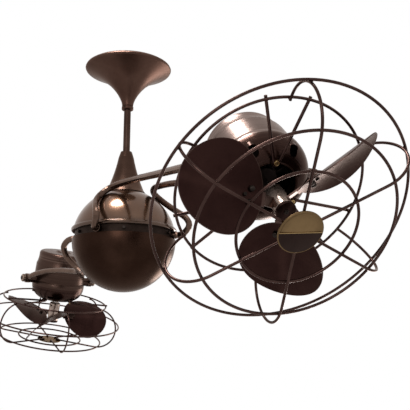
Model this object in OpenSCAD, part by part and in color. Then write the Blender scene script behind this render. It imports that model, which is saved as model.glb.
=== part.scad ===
// Ceiling fan with two caged heads on a turning fork, hung from a short rod.
// Origin: centre of the ceiling face. +Z up, +X towards the front head. Millimetres.

/* [Hanging] */
// Depth of the ball centre below the ceiling
drop = 422; // [400:1:520]
// Outer diameter of the downrod
rod_d = 16; // [14:0.5:20]
// Wall of the downrod
rod_wall = 1.6; // [1:0.1:3]
// Radius of the canopy rim
canopy_r = 101; // [90:1:120]
// Depth of the canopy from the ceiling to its neck
canopy_h = 102; // [98:1:112]
// Radius of the canopy neck
neck_r = 13; // [12.5:0.1:16]
// Wall of the spun covers
cover_t = 1.2; // [0.8:0.1:2]
// Height of the small collar that holds the canopy up
collar_h = 9; // [6:0.5:14]
// Distance between the two ceiling screws
screw_span = 89; // [80:1:96]
// Radius of the ceiling screw holes
screw_hole_r = 3; // [2.5:0.1:4]
// Thickness of the bracket's steel
bracket_t = 3; // [2:0.5:4]
// Radius of the hanger ball
hanger_r = 22; // [20:0.5:24]

/* [Ball] */
// Radius of the central ball
ball_r = 116; // [108:1:124]
// Wall of the two ball shells
shell_t = 1.6; // [1.2:0.1:2.4]
// Height of the open seam between the shells
seam_h = 17; // [16.5:0.1:20]
// Radius of the rolled bead on the upper shell
bead_r = 4.8; // [3:0.1:6]
// Height of the trumpet cover
trumpet_h = 100; // [90:1:112]
// Radius of the trumpet at its foot
foot_r = 47; // [42:1:52]
// Radius of the trumpet below its shoulder
throat_r = 17.5; // [17:0.1:20]
// Radius of the fixed spindle
spindle_r = 11; // [9:0.5:12]
// Outer radius of the spindle bearings
bearing_r = 17; // [16:0.5:20]

/* [Forks] */
// Distance from the rod's axis to a head's pivot
reach = 563; // [540:1:600]
// Height of the front pivots above the ball centre
pivot_z = 22.6; // [15:0.1:30]
// Height of the rear pivots above the ball centre
rear_pivot_z = -28; // [-34:0.5:-20]
// Angle from the front fork round to the rear fork
rear_turn = 178; // [174:0.5:186]
// Half the distance between a fork's two eyes
fork_half = 95; // [94:0.5:100]
// Diameter of the fork tubes
fork_d = 14; // [12:0.5:15]
// Radius of the eyes at the fork's ends
eye_r = 13; // [11:0.5:15]
// Length of an eye along its bore
eye_w = 12; // [8:0.5:14]
// Angle at which a fork tube enters the ball, from the fork's middle
socket_az = 51; // [48:0.5:54]
// Angle by which each head is turned sideways in its fork
toe = 7.25; // [0:0.25:10]

/* [Heads] */
// Angle of the front head below the horizon
front_tilt = 43; // [0:1:90]
// Angle of the rear head below the horizon
rear_tilt = 72; // [0:1:90]
// Distance from the pivots to the plane of the big ring
ring_fwd = 115; // [110:1:125]
// Radius of the drum at the pivots
drum_r = 72; // [70:0.5:74]
// Radius of the drum's front shoulder
shoulder_r = 75; // [74.5:0.5:77]
// Radius of the back cap
cap_r = 67; // [64:0.5:68]
// Wall of the head's covers
head_t = 1.8; // [1.4:0.1:2.4]
// Radius of the curve of the domed front
dome_arc = 42; // [40:0.5:44]
// Number of air scoops
scoops = 6; // [3:1:8]
// Radius of an air scoop
scoop_r = 9; // [7:0.5:9.5]
// Radius of the pivot screws
pivot_r = 5; // [4:0.1:6]
// Radius of the pivot screws' knobs
knob_r = 11; // [9:0.5:12]
// Height of the pivot screws' knobs
knob_h = 11.5; // [8:0.5:14]

/* [Cage] */
// Radius of the big ring
cage_r = 195; // [190:1:205]
// Diameter of the cage wire
wire_d = 4.4; // [3.6:0.1:5]
// Radius of the curl of each rib
curl_r = 59.7; // [57:0.1:62]
// Angle on the curl at which the front and rear rings sit
ring_turn = 81; // [76:0.5:84]
// Radius of the small front ring
small_ring_r = 89.5; // [80:0.5:100]
// Number of ribs
ribs = 6; // [6:3:9]
// Angle of the first rib
rib_phase = 37; // [0:1:60]
// Diameter of the struts
strut_d = 5; // [4:0.1:5.5]
// Half the angle between the tips of a strut pair
strut_split = 13; // [9:0.5:18]
// Radius of the badge disc
badge_r = 34; // [28:0.5:40]

/* [Rotors] */
// Radius of the round part of a blade
paddle_r = 67.5; // [60:0.5:70]
// Distance from the shaft to the middle of a blade
paddle_mid = 100.5; // [96:0.5:102]
// Pitch of the blades
pitch = 40; // [30:1:42]
// Radius of the blades' camber
camber_r = 170; // [150:1:260]
// Thickness of the blades
blade_t = 1.5; // [1:0.1:2]
// Distance from the pivots to the middle of the blades
blade_fwd = 105; // [104:0.5:108]
// Radius of the hub
hub_r = 15; // [13:0.5:17]
// Diameter of the motor shaft
shaft_d = 8; // [6:0.5:10]
// Width of the blade brackets
bracket_w = 16; // [12:0.5:18]
// Thickness of the blade brackets
bracket_thick = 2.6; // [1.6:0.1:3.4]
// How far a bracket reaches on to its blade
bracket_lap = 34; // [28:1:44]
// Radius of the blade screws' heads
blade_screw_r = 3; // [2.2:0.1:3.6]
// Angle of the front rotor at rest
front_phase = 49; // [0:1:119]
// Angle of the rear rotor at rest
rear_phase = 62; // [0:1:119]

/* [Hidden] */
$fn = 96;

fit = 0.05;          // radial clearance of a running fit
slip = 0.3;          // gap between moving faces
bronze = "#4a3a33";
dark = "#2c211d";
pale = "#8a7468";
rod_r = rod_d / 2;
ball_z = -drop;

// Points of an arc about (x, y), from angle a to angle b
function arc(x, y, r, a, b, n = 12) =
    [for (i = [0:n]) let (t = a + (b - a) * i / n) [x + r * cos(t), y + r * sin(t)]];
// Points of a bowed line from p to q that sags by s to its left
function bow(p, q, s, n = 10) =
    let (d = q - p, u = [-d.y, d.x] / norm(d))
    [for (i = [0:n]) let (t = i / n) p + d * t + u * s * 4 * t * (1 - t)];
function flip(l) = [for (i = [len(l) - 1:-1:0]) l[i]];
function unit(v) = v / norm(v);

// A tube of n sides along a list of points, closed at both ends
function tangents(p) = [for (i = [0:len(p) - 1])
    unit(p[min(i + 1, len(p) - 1)] - p[max(i - 1, 0)])];
function normals(t, n0) = [for (i = 0, n = unit(n0 - (n0 * t[0]) * t[0]); i < len(t);
    i = i + 1, n = i < len(t) ? unit(n - (n * t[i]) * t[i]) : n) n];
module tube_along(p, r, n, n0) {
    t = tangents(p);
    u = normals(t, n0);
    last = (len(p) - 1) * n;
    pts = [for (i = [0:len(p) - 1], j = [0:n - 1])
        let (a = 360 * (j + 0.5) / n)
        p[i] + r * (cos(a) * u[i] + sin(a) * cross(t[i], u[i]))];
    sides = [for (i = [0:len(p) - 2], j = [0:n - 1])
        let (k = (j + 1) % n, a = i * n)
        each [[a + j, a + n + j, a + n + k], [a + j, a + n + k, a + k]]];
    caps = concat([for (j = [1:n - 2]) [0, j, j + 1]],
        [for (j = [1:n - 2]) [last, last + j + 1, last + j]]);
    polyhedron(points = pts, faces = concat(sides, caps));
}
// Catmull-Rom curve through a list of points, s steps between each two
function through(p, s) = concat([for (i = [1:len(p) - 3], k = [0:s - 1])
    let (t = k / s, a = p[i - 1], b = p[i], c = p[i + 1], d = p[i + 2])
    0.5 * (2 * b + (c - a) * t + (2 * a - 5 * b + 4 * c - d) * t * t
        + (3 * b - a - 3 * c + d) * t * t * t)], [p[len(p) - 2]]);

module ring(r, d, z = 0) {
    translate([0, 0, z]) rotate_extrude() translate([r, 0]) circle(d = d, $fn = 16);
}
module shell_of(outer, inner) {
    rotate_extrude() polygon(concat(outer, flip(inner)));
}
module radial(az, z = 0) {
    rotate([0, 0, az]) translate([0, 0, z]) rotate([0, 90, 0]) children();
}

/* Hanging parts */
hanger_z = -32;      // centre of the hanger ball
seat_z = -44;        // underside of the bracket's seat ring
seat_r = 34;         // outer radius of the seat ring
pin_r = 3;
canopy_gap = 0.5;    // rim to ceiling
canopy_lip = 8;      // rounding of the rim
flare = 33;          // slope of the flare
flare_r = 56;        // curve between the flare and the neck

module hanger_bracket() color("silver") {
    difference() {
        union() {
            translate([-55, -16, -bracket_t]) cube([110, 32, bracket_t]);
            for (s = [-1, 1]) translate([s * (seat_r - bracket_t / 2), 0, (seat_z - bracket_t) / 2])
                cube([bracket_t, 24, -seat_z - bracket_t], center = true);
            translate([0, 0, seat_z]) cylinder(r = seat_r, h = 6);
        }
        translate([0, 0, hanger_z]) sphere(r = hanger_r + fit);
        for (s = [-1, 1]) translate([s * screw_span / 2, 0, -bracket_t - 1])
            cylinder(r = screw_hole_r, h = bracket_t + 2, $fn = 32);
        translate([22, 0, -bracket_t - 1]) cylinder(r = 7, h = bracket_t + 2, $fn = 32);
    }
}
module hanger_ball() color("dimgray") difference() {
    translate([0, 0, hanger_z]) intersection() {
        sphere(r = hanger_r);
        translate([0, 0, -3]) cube([60, 60, 2 * hanger_r - 8], center = true);
    }
    translate([0, 0, hanger_z - hanger_r]) cylinder(r = rod_r + fit, h = 3 * hanger_r);
    translate([0, 0, hanger_z]) rotate([0, 90, 0])
        cylinder(r = pin_r + fit, h = 80, center = true, $fn = 32);
}
module hanger_pin() color("silver") translate([0, 0, hanger_z]) rotate([0, 90, 0])
    cylinder(r = pin_r, h = 2 * hanger_r - 4, center = true, $fn = 32);

function canopy_line(w) = concat(
    arc(canopy_r - canopy_lip, -canopy_lip - canopy_gap, canopy_lip - w, 90, flare - 90),
    arc(neck_r + flare_r, -canopy_h, flare_r + w, 90 + flare, 180));
module canopy() color(bronze) shell_of(canopy_line(0), canopy_line(cover_t));

module canopy_collar() color(bronze) difference() {
    rotate_extrude() polygon(concat([[0, -canopy_h]],
        arc(neck_r - 1.5, -canopy_h - 2.2, 2.2, 90, 0, 5),
        arc(neck_r - 1.5, -canopy_h - collar_h + 2.2, 2.2, 0, -60, 5),
        [[rod_r + 1, -canopy_h - collar_h], [0, -canopy_h - collar_h]]));
    translate([0, 0, -canopy_h - collar_h - 1]) cylinder(r = rod_r + fit, h = collar_h + 2);
}
rod_foot = 160;      // lower end of the rod above the ball centre
module downrod() color(bronze) difference() {
    translate([0, 0, ball_z + rod_foot]) cylinder(r = rod_r, h = drop - rod_foot + hanger_z + 12);
    translate([0, 0, ball_z + rod_foot - 1]) cylinder(r = rod_r - rod_wall, h = drop);
    translate([0, 0, hanger_z]) rotate([0, 90, 0])
        cylinder(r = pin_r + fit, h = 80, center = true, $fn = 32);
}
coupling_z = 132;    // underside of the coupling above the ball centre
module rod_coupling() color("dimgray") translate([0, 0, ball_z + coupling_z]) difference() {
    rotate_extrude() polygon([[0, 0], [throat_r + 1, 0], [throat_r + 1, 8],
        [throat_r - 4, 14], [throat_r - 4, 50], [0, 50]]);
    translate([0, 0, rod_foot - coupling_z]) cylinder(r = rod_r + fit, h = 60);
    translate([0, 0, -1]) cylinder(r = spindle_r - 3, h = 60);
}

/* Ball */
foot_z = sqrt(ball_r * ball_r - foot_r * foot_r) + 1.5;
function trumpet_line(w) = concat([[foot_r - w, foot_z]],
    bow([foot_r - 5 - w, foot_z + 7], [throat_r - w, foot_z + trumpet_h - 14], 2.2),
    [[neck_r - w, foot_z + trumpet_h - w]]);
module lower_trumpet() color(bronze) translate([0, 0, ball_z]) difference() {
    rotate_extrude() polygon(concat(trumpet_line(0), [[rod_r + slip, foot_z + trumpet_h]],
        [[rod_r + slip, foot_z + trumpet_h - cover_t]], flip(trumpet_line(cover_t))));
}
hub_top = 78;        // top of the carrier's hub above the ball centre
hub_foot = -26;      // underside of the carrier's hub
bearing_h = 9;
module spindle() color("silver") translate([0, 0, ball_z]) difference() {
    translate([0, 0, hub_foot - 22]) cylinder(r = spindle_r, h = coupling_z - hub_foot + 22);
    translate([0, 0, hub_foot - 23]) cylinder(r = spindle_r - 3, h = 400);
}
module spindle_bearings() color("lightgray")
    for (z = [hub_foot + 2, hub_top - bearing_h - 2]) translate([0, 0, ball_z + z]) difference() {
        cylinder(r = bearing_r, h = bearing_h);
        translate([0, 0, -1]) cylinder(r = spindle_r + 0.02, h = bearing_h + 2);
    }
module spindle_nut() color("silver") translate([0, 0, ball_z + hub_foot - slip - 10]) difference() {
    union() {
        cylinder(r = spindle_r + 6, h = 8, $fn = 6);
        translate([0, 0, 8]) cylinder(r = bearing_r + 3, h = 2);
    }
    translate([0, 0, -1]) cylinder(r = spindle_r + 0.02, h = 12);
}
ring_in = 9;         // depth of the carrier's rim from the ball's surface
recess = 6;          // depth of the open seam
seam_z = seam_h / 2;
sockets = [socket_az, -socket_az, rear_turn + socket_az, rear_turn - socket_az];
module carrier() color(dark) translate([0, 0, ball_z]) difference() {
    union() {
        rotate_extrude() difference() {
            intersection() {
                circle(r = ball_r - shell_t - fit);
                translate([ball_r - recess - ring_in, -7]) square([2 * ring_in, seam_h + 14]);
            }
            translate([ball_r - recess, 0]) square([30, seam_h]);
        }
        translate([0, 0, hub_foot]) cylinder(r = bearing_r + 5, h = hub_top - hub_foot);
        for (a = sockets) rotate([0, 0, a])
            translate([bearing_r, -7, 2]) cube([ball_r - recess - ring_in - bearing_r + 2, 14, 13]);
    }
    for (z = [hub_foot - 1, hub_top - bearing_h - 2 - slip]) translate([0, 0, z])
        cylinder(r = bearing_r + fit, h = bearing_h + 4);
    translate([0, 0, hub_foot - 1]) cylinder(r = spindle_r + 1.5, h = 200);
}
module upper_shell() color(pale) translate([0, 0, ball_z]) rotate_extrude() difference() {
    union() {
        intersection() {
            circle(r = ball_r);
            translate([0, seam_h]) square([2 * ball_r, 2 * ball_r]);
        }
        translate([ball_r - 2.5, seam_h + bead_r]) circle(r = bead_r);
    }
    circle(r = ball_r - shell_t);
    translate([0, -1]) square([spindle_r + 17, 2 * ball_r]);
    translate([-ball_r, -2 * ball_r]) square([ball_r, 4 * ball_r]);
}
module lower_shell() color(dark) translate([0, 0, ball_z]) rotate_extrude() difference() {
    intersection() {
        circle(r = ball_r);
        translate([0, -2 * ball_r]) square([2 * ball_r, 2 * ball_r]);
    }
    circle(r = ball_r - shell_t);
}
socket_out = 4;      // how far a socket stands out of the ball
module arm_sockets() color(bronze) translate([0, 0, ball_z])
    for (a = sockets) difference() {
        radial(a, seam_z) cylinder(r = fork_d / 2 + 1.3, h = ball_r + socket_out, $fn = 48);
        translate([0, 0, -50]) cylinder(r = ball_r - recess, h = 200);
        radial(a, seam_z) translate([0, 0, ball_r - recess + 1.5])
            cylinder(r = fork_d / 2 + 0.1, h = 20, $fn = 48);
    }
module seam_screws() color("silver") translate([0, 0, ball_z])
    for (a = [-22:60:278]) difference() {
        radial(a, seam_z + 0.5) cylinder(r = 3.5, h = ball_r - 1.5, $fn = 24);
        translate([0, 0, -50]) cylinder(r = ball_r - recess, h = 200);
    }

/* Forks. A front prong leaves its socket, hooks up over the ball's shoulder to the trumpet and
   runs out to its eye. A rear prong hooks down behind the ball and runs out lower. Points are
   relative to the ball centre, with +x towards the fork's own head, for the side s. */
function near(p) = p + (ball_r - 116) * unit(p);
function pivot_axis(t) = [sin(t), cos(t), 0];
function eye(s, t, z) = [reach, 0, z] + s * fork_half * pivot_axis(t);
front_hook = [[98, 104, 12], [113, 107, 26], [100, 104, 45], [70, 94, 65], [46, 77, 86],
    [40, 55, 105], [66, 42, 111]];
rear_hook = [[98, 104, 6], [114, 107, -5], [122, 98, -25], [140, 75, -40], [168, 55, -47]];
front_run = [[112, 39, 107], [186, 42, 96]];
rear_run = [[204, 46, -48], [250, 50, -42]];
front_end = [[-241, -35, 47], [-160, -21, 31], [-85, -8, 16], [-40, -1.5, 7]];
rear_end = [[-241, -35, -4], [-160, -21, 3], [-85, -8, 4], [-40, -1.5, 1.5]];
function route(s, t, z, hook, run, end) = let (
    e = eye(s, t, z), back = [cos(t), -sin(t), 0],
    c = [cos(socket_az), s * sin(socket_az), 0], up = [0, 0, seam_z])
    [(ball_r - 14) * c + up, (ball_r - 4) * c + up, (ball_r + 5) * c + up,
    (ball_r + 12) * c + up,
    each [for (p = hook) near([p.x, s * p.y, p.z])],
    each [for (p = run) [p.x, s * p.y, p.z]],
    each [for (p = end)
        [reach + p.x, s * (fork_half + p.y), z + p.z]
        + [(e.x - reach) * (1 + p.x / 241), 0, 0]],
    e - 6 * back, e + 20 * back];
module at_eye(s, t, z) translate(eye(s, t, z)) rotate([0, 0, -t]) rotate([90, 0, 0]) children();
module prong(s, t, z, hook, run, end) color(bronze) translate([0, 0, ball_z]) difference() {
    union() {
        tube_along(through(route(s, t, z, hook, run, end), 3), fork_d / 2, 12, [0, 0, 1]);
        at_eye(s, t, z) cylinder(r = eye_r, h = eye_w, center = true, $fn = 48);
    }
    at_eye(s, t, z) cylinder(r = pivot_r + fit, h = 60, center = true, $fn = 48);
    // flat seats for the boss and the knob
    for (k = [-1, 1]) at_eye(s, t, z) translate([0, 0, k * (eye_w / 2 + 5)])
        cylinder(r = eye_r + 1.5, h = 10, center = true, $fn = 48);
}
module front_prong(s) prong(s, toe, pivot_z, front_hook, front_run, front_end);
module rear_prong(s) rotate([0, 0, rear_turn])
    prong(s, -toe, rear_pivot_z, rear_hook, rear_run, rear_end);

/* Heads. Drawn with the pivots on the local X axis and the rotor's axis along +Z. */
module at_pivot(t, z, tilt) translate([reach, 0, ball_z + z]) rotate([0, 0, -t])
    rotate([0, tilt, 0]) rotate([90, 0, 90]) children();
module at_front() at_pivot(toe, pivot_z, front_tilt) children();
module at_rear() rotate([0, 0, rear_turn]) at_pivot(-toe, rear_pivot_z, rear_tilt) children();

drum_back = -45;
drum_front = 15;
boss_r = 12;
boss_end = fork_half - eye_w / 2 - slip;
module pivot_screws() color(pale) for (s = [-1, 1]) rotate([0, 90 * s, 0]) {
    translate([0, 0, drum_r - 4]) cylinder(r = pivot_r, h = fork_half + eye_w / 2 + slip - drum_r + 6,
        $fn = 48);
    translate([0, 0, fork_half + eye_w / 2 + slip]) difference() {
        rotate_extrude() polygon([[0, 0], [knob_r - 2, 0], [knob_r, 2], [knob_r, knob_h - 3.5],
            [knob_r - 2, knob_h - 1], [0, knob_h]]);
        for (a = [0:45:315]) rotate([0, 0, a]) translate([knob_r + 1, 0, -1])
            cylinder(r = 2, h = knob_h + 2, $fn = 16);
    }
}
function cap_line(w) = concat(
    bow([drum_r - 1 - w, drum_back], [cap_r - w, drum_back - 22], -0.8, 6),
    arc(cap_r - 9, drum_back - 29, 9 - w, 0, -75, 8), [[24, drum_back - 39 + w]],
    arc(16, drum_back - 38, 4 - w, -40, -90, 4));
module back_cap() color(pale) rotate_extrude()
    polygon(concat(cap_line(0), [[0, drum_back - 42]], [[0, drum_back - 42 + head_t]],
        flip(cap_line(head_t))));
function drum_line(w) = concat([[drum_r - 0.5 - w, drum_back], [drum_r - w, drum_back + 30]],
    bow([drum_r - w, 0], [shoulder_r - w, drum_front - 4], -0.5, 6),
    [[shoulder_r - w, drum_front]]);
module drum() color(pale) difference() {
    union() {
        shell_of(drum_line(0), drum_line(head_t));
        difference() {
            rotate([0, 90, 0]) cylinder(r = boss_r, h = 2 * boss_end, center = true, $fn = 48);
            translate([0, 0, -50]) cylinder(r = drum_r - head_t, h = 100);
        }
    }
    rotate([0, 90, 0]) cylinder(r = pivot_r + 0.02, h = 4 * drum_r, center = true, $fn = 48);
}
dome_x = shoulder_r - dome_arc;
mouth_turn = 70;     // where the dome's curve meets its mouth
function dome_line(w) = arc(dome_x, drum_front, dome_arc - w, 0, mouth_turn, 14);
mouth_r = dome_x + dome_arc * cos(mouth_turn);
mouth_z = drum_front + dome_arc * sin(mouth_turn);
scoop_at = 64;       // distance of the scoops from the axis
module dome() color(pale) difference() {
    union() {
        rotate_extrude() polygon(concat([[dome_x, drum_front]], dome_line(0),
            [[mouth_r - 3, mouth_z + 1], [mouth_r - 6, mouth_z], [mouth_r - 10, mouth_z - 14]]));
        for (i = [0:scoops - 1]) rotate([0, 0, 7 + i * 360 / scoops])
            translate([scoop_at, 0, drum_front]) cylinder(r = scoop_r, h = 23, $fn = 40);
    }
    rotate_extrude() polygon(concat([[0, drum_front - 1], [shoulder_r - head_t, drum_front - 1]],
        dome_line(head_t), [[mouth_r - 6 + head_t, mouth_z - head_t],
        [mouth_r - 10 + head_t, mouth_z - 14], [0, mouth_z - 14]]));
    for (i = [0:scoops - 1]) rotate([0, 0, 7 + i * 360 / scoops])
        translate([scoop_at, 0, drum_front + 5]) cylinder(r = scoop_r - 1.5, h = 60, $fn = 40);
}
motor_r = drum_r - head_t - 4.5;
motor_face = 30;
module motor() color("#1c1816") difference() {
    union() {
        translate([0, 0, drum_back + 3]) cylinder(r = motor_r, h = 40);
        translate([0, 0, drum_back + 30]) cylinder(r = drum_r - head_t - 0.2, h = 6);
        translate([0, 0, drum_back + 40]) cylinder(r = 48, h = 25);
        cylinder(r = 20, h = motor_face);
    }
    cylinder(r = shaft_d / 2 + fit, h = 400, center = true, $fn = 48);
    for (s = [-1, 1]) translate([s * drum_r, 0, 0]) rotate([0, 90, 0])
        cylinder(r = pivot_r + 1, h = 20, center = true, $fn = 48);
}

/* Cage: rings sit inside the curl of the ribs, where the wires touch. */
weld = 0.1;          // depth to which crossing wires touch
ring_seat = curl_r - wire_d + weld;
curl_x = cage_r - ring_seat;
rib_z = ring_fwd + curl_r;
module big_ring() color(dark) ring(cage_r, wire_d, ring_fwd);
module rear_ring() color(dark)
    ring(curl_x + ring_seat * cos(ring_turn), wire_d, ring_fwd - ring_seat * sin(ring_turn));
module front_ring() color(dark)
    ring(curl_x + ring_seat * cos(ring_turn), wire_d, ring_fwd + ring_seat * sin(ring_turn));
module small_ring() color(dark) ring(small_ring_r, wire_d, ring_fwd + ring_seat);
rib_start = badge_r - 14;
function rib_path() = concat([[rib_start, 0, rib_z]],
    [for (p = arc(curl_x, ring_fwd, curl_r, 90, -94, 16)) [p.x, 0, p.y]]);
module rib_set() color(dark) for (i = [0:ribs - 1]) rotate([0, 0, rib_phase + i * 360 / ribs])
    tube_along(rib_path(), wire_d / 2, 8, [0, 1, 0]);

// Struts: a pair from each foot on the dome to the rear ring
foot_at = [mouth_r - 1.5, mouth_z + 2.5 + strut_d / 2];
strut_n = 3;
rear_ring_r = curl_x + ring_seat * cos(ring_turn);
rear_ring_z = ring_fwd - ring_seat * sin(ring_turn);
module strut(side) {
    a = [foot_at.x, side * 4, foot_at.y];
    tip = (rear_ring_r - 0.5);
    b = [tip * cos(strut_split), side * tip * sin(strut_split), rear_ring_z - (wire_d + strut_d) / 2 + weld];
    d = b - a;
    translate(a) rotate([0, acos(d.z / norm(d)), atan2(d.y, d.x)])
        cylinder(d = strut_d, h = norm(d) + 4, $fn = 24);
}
module struts() color(dark) for (i = [0:strut_n - 1])
    rotate([0, 0, rib_phase + 60 + i * 360 / strut_n]) {
        difference() {
            union() {
                for (s = [-1, 1]) strut(s);
                translate([foot_at.x - 1, 0, mouth_z + 1.1]) cylinder(r = 8, h = 3.4, $fn = 32);
            }
            translate([foot_at.x - 1, 0, 0]) cylinder(r = 2.6, h = 100, $fn = 24);
            translate([foot_at.x - 1, 0, mouth_z + 4.5]) cylinder(r = 5, h = 20, $fn = 24);
        }
    }
module strut_screws() color("goldenrod") for (i = [0:strut_n - 1])
    rotate([0, 0, rib_phase + 60 + i * 360 / strut_n]) translate([foot_at.x - 1, 0, mouth_z]) {
        translate([0, 0, 1.1]) cylinder(r = 2.5, h = 5, $fn = 24);
        translate([0, 0, 4.6]) cylinder(r = 4.5, h = 2.4, $fn = 24);
    }
module badge() color("tan") translate([0, 0, rib_z + wire_d / 2 - weld]) rotate_extrude()
    polygon(concat([[0, 0], [badge_r - 1, 0]], arc(badge_r - 1.5, 1.5, 1.5, -60, 60, 4),
        [[badge_r - 3, 3], [badge_r - 4.5, 2.2], [0, 2.8]]));

/* Rotor */
hub_back = blade_fwd - 38;
hub_len = 53;
module shaft() color("silver") translate([0, 0, drum_back + 1]) difference() {
    cylinder(d = shaft_d, h = hub_back + hub_len - 4 - drum_back, $fn = 48);
    translate([-shaft_d, shaft_d / 2 - 0.8, hub_back - drum_back + 10])
        cube([2 * shaft_d, shaft_d, 200]);
}
module hub() color("lightgray") translate([0, 0, hub_back]) difference() {
    rotate_extrude() polygon([[0, 0], [hub_r - 2, 0], [hub_r, 2], [hub_r, hub_len - 1.5],
        [hub_r - 1.5, hub_len], [0, hub_len]]);
    translate([0, 0, -1]) cylinder(r = shaft_d / 2 + 0.02, h = hub_len - 2, $fn = 48);
    for (i = [0:2]) rotate([0, 0, i * 120]) translate([0, hub_r, 8]) rotate([90, 0, 0])
        cylinder(r = 2.5, h = 6, center = true, $fn = 24);
}
module nose() color("#1c1816") translate([0, 0, hub_back + hub_len]) rotate_extrude()
    polygon(concat([[0, 0]], arc(hub_r - 5, 0, 3.5, 0, 60, 4), [[0, 5]]));
module blade_frame(phase, i) translate([0, 0, blade_fwd]) rotate([0, 0, phase + i * 120])
    rotate([pitch, 0, 0]) children();
// Slab of the cambered surface between depths a and b behind the blade's face
module cambered(a, b) difference() {
    translate([0, 0, camber_r]) rotate([0, 90, 0]) cylinder(r = camber_r + b, h = 400, $fn = 180);
    translate([-1, 0, camber_r]) rotate([0, 90, 0]) cylinder(r = camber_r + a, h = 402, $fn = 180);
}
module blades(phase) color(dark) for (i = [0:2]) blade_frame(phase, i) intersection() {
    cambered(0, blade_t);
    translate([0, 0, -20]) linear_extrude(60) union() {
        translate([paddle_mid, 0]) circle(r = paddle_r);
        translate([paddle_mid - paddle_r - 4, -bracket_w / 2 - 3]) square([24, bracket_w + 6]);
    }
}
bracket_end = paddle_mid - paddle_r + bracket_lap;
module blade_brackets(phase) color("#241c19") for (i = [0:2]) difference() {
    blade_frame(phase, i) intersection() {
        cambered(blade_t, blade_t + bracket_thick);
        translate([0, 0, -20]) linear_extrude(60) union() {
            translate([0, -bracket_w / 2]) square([bracket_end - bracket_w / 2, bracket_w]);
            translate([bracket_end - bracket_w / 2, 0]) circle(d = bracket_w);
            translate([bracket_end - 18, -bracket_w / 2 - 6]) square([10, bracket_w + 12]);
        }
    }
    translate([0, 0, -10]) cylinder(r = hub_r, h = 400);
}
module blade_screws(phase) color("#14100f") for (i = [0:2], p = [[-4, 0], [-13, 10], [-13, -10]])
    blade_frame(phase, i) intersection() {
        cambered(-1.8, 0);
        translate([bracket_end + p.x, p.y, -30]) cylinder(r = blade_screw_r, h = 60, $fn = 24);
    }

hanger_bracket();
hanger_ball();
hanger_pin();
canopy();
canopy_collar();
downrod();
rod_coupling();
lower_trumpet();
spindle();
spindle_bearings();
spindle_nut();
carrier();
upper_shell();
lower_shell();
arm_sockets();
seam_screws();
front_prong(-1);  // front_left_prong
front_prong(1);  // front_right_prong
rear_prong(-1);  // rear_left_prong
rear_prong(1);  // rear_right_prong
at_front() pivot_screws();  // front_pivot_screws
at_front() back_cap();  // front_back_cap
at_front() drum();  // front_drum
at_front() dome();  // front_dome
at_front() motor();  // front_motor
at_front() big_ring();  // front_big_ring
at_front() rear_ring();  // front_rear_ring
at_front() front_ring();  // front_front_ring
at_front() small_ring();  // front_small_ring
at_front() rib_set();  // front_ribs
at_front() struts();  // front_struts
at_front() strut_screws();  // front_strut_screws
at_front() badge();  // front_badge
at_front() shaft();  // front_shaft
at_front() hub();  // front_hub
at_front() blade_brackets(front_phase);  // front_blade_brackets
at_front() blades(front_phase);  // front_blades
at_front() blade_screws(front_phase);  // front_blade_screws
at_front() nose();  // front_nose
at_rear() pivot_screws();  // rear_pivot_screws
at_rear() back_cap();  // rear_back_cap
at_rear() drum();  // rear_drum
at_rear() dome();  // rear_dome
at_rear() motor();  // rear_motor
at_rear() big_ring();  // rear_big_ring
at_rear() rear_ring();  // rear_rear_ring
at_rear() front_ring();  // rear_front_ring
at_rear() small_ring();  // rear_small_ring
at_rear() rib_set();  // rear_ribs
at_rear() struts();  // rear_struts
at_rear() strut_screws();  // rear_strut_screws
at_rear() badge();  // rear_badge
at_rear() shaft();  // rear_shaft
at_rear() hub();  // rear_hub
at_rear() blade_brackets(rear_phase);  // rear_blade_brackets
at_rear() blades(rear_phase);  // rear_blades
at_rear() blade_screws(rear_phase);  // rear_blade_screws
at_rear() nose();  // rear_nose
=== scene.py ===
import math

import bmesh
import bpy
from mathutils import Matrix, Vector


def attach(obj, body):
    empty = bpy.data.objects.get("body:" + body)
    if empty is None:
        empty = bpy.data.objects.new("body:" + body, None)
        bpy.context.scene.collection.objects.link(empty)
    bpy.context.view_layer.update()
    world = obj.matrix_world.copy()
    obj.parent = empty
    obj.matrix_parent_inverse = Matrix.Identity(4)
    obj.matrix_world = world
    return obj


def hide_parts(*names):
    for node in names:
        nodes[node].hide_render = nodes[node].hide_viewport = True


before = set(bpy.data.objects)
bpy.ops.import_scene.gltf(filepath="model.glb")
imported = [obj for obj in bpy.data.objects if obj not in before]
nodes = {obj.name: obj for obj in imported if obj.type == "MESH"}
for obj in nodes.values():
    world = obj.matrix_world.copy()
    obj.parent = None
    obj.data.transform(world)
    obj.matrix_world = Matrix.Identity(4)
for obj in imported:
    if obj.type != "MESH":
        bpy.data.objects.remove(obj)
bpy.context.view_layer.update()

# ---- Camera --------------------------------------------------------------------------------
# The view looks up at the fan from just under its heads, a little to the left of the front
# one. Its place and lens come from fitting the cage rings, the ball and the canopy.
EYE = (1.456, -0.5725, -0.6995)
GAZE = Vector((-0.8589, 0.4597, 0.2255))
LENS_MM = 61.46
SENSOR_MM = 36.0
FAR_CLIP = 200.0
camera = bpy.data.objects.new("camera", bpy.data.cameras.new("camera"))
camera.location = EYE
camera.rotation_euler = GAZE.to_track_quat("-Z", "Y").to_euler()
camera.data.lens = LENS_MM
camera.data.sensor_width = SENSOR_MM
camera.data.clip_end = FAR_CLIP
bpy.context.scene.collection.objects.link(camera)
bpy.context.scene.camera = camera
bpy.context.scene.view_settings.view_transform = "Standard"

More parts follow.
